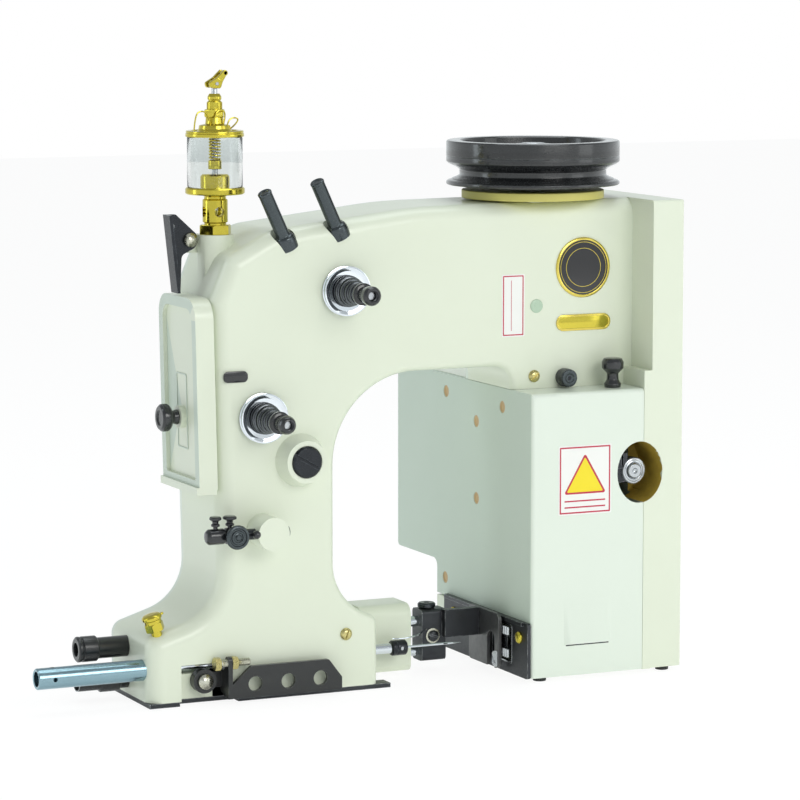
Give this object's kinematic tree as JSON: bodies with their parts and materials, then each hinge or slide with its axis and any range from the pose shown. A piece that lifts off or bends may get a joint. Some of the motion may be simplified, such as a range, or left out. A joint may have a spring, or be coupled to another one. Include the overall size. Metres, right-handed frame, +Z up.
{
  "type": "bag closer sewing machine",
  "caption": "Industrial bag closer sewing head: cream C-shaped casting, vertical shaft with belt wheel, horizontal needle bar, looper housing, oil cup and pedal-lifted presser foot.",
  "frame": {"origin": "on the resting plane, under the axis of the vertical main shaft", "axes": "+X from the needle leg towards the mounting side plate, -Y the front with the thread tensions, +Z up along the main shaft"},
  "size_m": [0.449, 0.23, 0.4128],
  "materials": {
    "enamel": "gloss cream enamel",
    "black_oxide": "black oxide, oiled",
    "gunmetal": "gunmetal, oiled",
    "steel": "ground",
    "throat": "blackened, worn bright at the edges",
    "forged": "machined casting",
    "chrome": "polished",
    "spring": "oil-tempered",
    "zinc": "zinc plated",
    "pulley": "satin black",
    "cap": "pale yellow primer",
    "black_plastic": "gloss black",
    "bronze": "sintered bronze",
    "brass": "bright",
    "glass": "clear, slightly smoked",
    "rubber": "matt",
    "plates": "gloss black with a gold rim"
  },
  "bodies": {
    "frame": {"main_frame": "enamel", "frame_rear_cover": "enamel", "leg_base_plate": "steel", "frame_screws": "zinc", "column_feet": "rubber", "shaft_bearings": "steel", "top_bearing_cap": "cap", "rocker_pivot_pin": "steel", "needle_guard_tube": "gunmetal", "bar_bushes": "bronze", "presser_springs": "spring", "throat_plate": "throat", "thread_posts": "black_oxide", "tension_posts": "chrome", "tension_discs": "chrome", "tension_springs": "spring", "oil_cup_body": "brass", "oil_cup_glass": "glass", "oil_cup_cap": "brass", "oiler_body": "brass", "name_plates": "plates", "front_plugs": "black_oxide"},
    "main_shaft": {"main_shaft": "steel", "shaft_eccentrics": "steel", "belt_pulley": "pulley", "pulley_nut": "zinc"},
    "needle_rocker": {"needle_rocker": "forged"},
    "connecting_rod": {"connecting_rod": "forged"},
    "needle_bar": {"needle_crosshead": "forged", "needle_bar": "steel", "needle_clamp": "steel", "needle": "chrome"},
    "take_up_lever": {"take_up_lever": "black_oxide"},
    "looper": {"looper_shaft": "steel", "looper": "steel"},
    "feed_rock": {"feed_rock_shaft": "steel", "feed_rock_clamp": "forged"},
    "feed": {"feed_bar": "steel", "feed_dog": "steel"},
    "pedal_lever": {"pedal_lever": "black_oxide", "lever_stop_screw": "black_oxide"},
    "presser": {"presser_bars": "steel", "presser_bracket": "steel", "presser_foot": "steel", "presser_screws": "zinc"},
    "regulator_upper": {"regulator_upper": "black_oxide"},
    "regulator_lower": {"regulator_lower": "gunmetal"},
    "looper_cover": {"looper_cover": "enamel"},
    "cover_plunger": {"cover_plunger": "black_plastic"},
    "cover_latch": {"cover_latch": "black_plastic"},
    "face_cover": {"face_cover": "enamel"},
    "face_cover_knob": {"face_cover_knob": "black_plastic"},
    "tension_nut_upper": {"tension_nut_upper": "black_plastic"},
    "tension_nut_lower": {"tension_nut_lower": "black_plastic"},
    "thread_guide": {"thread_guide_rod": "black_oxide"},
    "guide_thumbscrew_left": {"guide_thumbscrew_left": "black_oxide"},
    "guide_thumbscrew_right": {"guide_thumbscrew_right": "black_oxide"},
    "oil_toggle": {"oil_toggle": "brass"},
    "oil_needle": {"oil_needle": "brass"},
    "oiler_cap": {"oiler_cap": "brass"}
  },
  "joints": [
    {"name": "main_shaft_turn", "type": "hinge", "parent": "frame", "child": "main_shaft", "pos_m": [0, 0, 0], "axis": [0, 0, 1], "continuous": true},
    {"name": "needle_rock", "type": "hinge", "parent": "frame", "child": "needle_rocker", "pos_m": [-0.1874, 0, 0.1575], "axis": [0, -1, 0], "range_deg": [0, 23]},
    {"name": "connecting_rod_swing", "type": "hinge", "parent": "needle_rocker", "child": "connecting_rod", "pos_m": [-0.17145, 0, 0.23589], "axis": [0, -1, 0], "range_deg": [-23, 0]},
    {"name": "needle_bar_slide", "type": "slide", "parent": "frame", "child": "needle_bar", "axis": [1, 0, 0], "range_m": [0, 0.0559]},
    {"name": "take_up_swing", "type": "hinge", "parent": "frame", "child": "take_up_lever", "pos_m": [-0.25, 0, 0.302], "axis": [0, 1, 0], "range_deg": [0, 8.1]},
    {"name": "looper_swing", "type": "hinge", "parent": "frame", "child": "looper", "pos_m": [0, -0.038, 0.075], "axis": [-1, 0, 0], "range_deg": [0, 18.5]},
    {"name": "feed_rock_turn", "type": "hinge", "parent": "frame", "child": "feed_rock", "pos_m": [0.05, 0, 0.139], "axis": [0, 1, 0], "range_deg": [0, 5.8]},
    {"name": "feed_slide", "type": "slide", "parent": "frame", "child": "feed", "axis": [0, 1, 0], "range_m": [0, 0.004]},
    {"name": "pedal_lever_swing", "type": "hinge", "parent": "frame", "child": "pedal_lever", "pos_m": [-0.255, 0, 0.015], "axis": [0, 1, 0], "range_deg": [0, 15], "stiffness_Nm_per_rad": 2, "springref_deg": -11.46},
    {"name": "presser_lift", "type": "slide", "parent": "frame", "child": "presser", "axis": [-1, 0, 0], "range_m": [0, 0.0111], "deforming": ["presser_springs"]},
    {"name": "regulator_upper_turn", "type": "hinge", "parent": "frame", "child": "regulator_upper", "pos_m": [-0.294, 0.01, 0.0345], "axis": [1, 0, 0], "continuous": true},
    {"name": "regulator_lower_turn", "type": "hinge", "parent": "frame", "child": "regulator_lower", "pos_m": [-0.294, 0.01, 0.0135], "axis": [1, 0, 0], "continuous": true},
    {"name": "looper_cover_pull", "type": "slide", "parent": "frame", "child": "looper_cover", "axis": [0, -1, 0], "range_m": [0, 0.13]},
    {"name": "cover_plunger_lift", "type": "slide", "parent": "looper_cover", "child": "cover_plunger", "axis": [0, 0, 1], "range_m": [0, 0.008], "stiffness_N_per_m": 400, "springref_m": -0.003},
    {"name": "cover_latch_turn", "type": "hinge", "parent": "frame", "child": "cover_latch", "pos_m": [0.0065, -0.034, 0.203], "axis": [0, 1, 0], "range_deg": [0, 90]},
    {"name": "face_cover_pull", "type": "slide", "parent": "frame", "child": "face_cover", "axis": [-1, 0, 0], "range_m": [0, 0.03]},
    {"name": "face_knob_turn", "type": "hinge", "parent": "face_cover", "child": "face_cover_knob", "pos_m": [-0.27, 0, 0.186], "axis": [1, 0, 0], "continuous": true},
    {"name": "tension_nut_upper_turn", "type": "hinge", "parent": "frame", "child": "tension_nut_upper", "pos_m": [-0.155, -0.034, 0.268], "axis": [0, 1, 0], "continuous": true},
    {"name": "tension_nut_lower_turn", "type": "hinge", "parent": "frame", "child": "tension_nut_lower", "pos_m": [-0.2142, -0.034, 0.187], "axis": [0, 1, 0], "continuous": true},
    {"name": "thread_guide_slide", "type": "slide", "parent": "frame", "child": "thread_guide", "axis": [1, 0, 0], "range_m": [-0.008, 0.008]},
    {"name": "guide_thumbscrew_left_turn", "type": "hinge", "parent": "thread_guide", "child": "guide_thumbscrew_left", "pos_m": [-0.2527, -0.047, 0.1128], "axis": [0, 0, 1], "continuous": true},
    {"name": "guide_thumbscrew_right_turn", "type": "hinge", "parent": "thread_guide", "child": "guide_thumbscrew_right", "pos_m": [-0.2427, -0.047, 0.1128], "axis": [0, 0, 1], "continuous": true},
    {"name": "oil_toggle_flip", "type": "hinge", "parent": "frame", "child": "oil_toggle", "pos_m": [-0.2315, 0.003, 0.4035], "axis": [0, 1, 0], "range_deg": [0, 80]},
    {"name": "oil_needle_lift", "type": "slide", "parent": "frame", "child": "oil_needle", "axis": [0, 0, 1], "range_m": [0, 0.003]},
    {"name": "oiler_cap_flip", "type": "hinge", "parent": "frame", "child": "oiler_cap", "pos_m": [-0.29576, -0.025, 0.05766], "axis": [0, -1, 0], "range_deg": [0, 100]}
  ],
  "couplings": [
    {"joint": "connecting_rod_swing", "follows": "needle_rock", "ratio": -1},
    {"joint": "needle_bar_slide", "follows": "needle_rock", "m_per_rad": 0.139},
    {"joint": "take_up_swing", "follows": "needle_rock", "ratio": 0.35},
    {"joint": "looper_swing", "follows": "needle_rock", "ratio": 0.8},
    {"joint": "feed_rock_turn", "follows": "needle_rock", "ratio": 0.25},
    {"joint": "feed_slide", "follows": "needle_rock", "m_per_rad": 0.0099},
    {"joint": "presser_lift", "follows": "pedal_lever_swing", "m_per_rad": 0.042},
    {"joint": "oil_toggle_flip", "follows": "oil_needle_lift", "rad_per_m": 465.4}
  ]
}
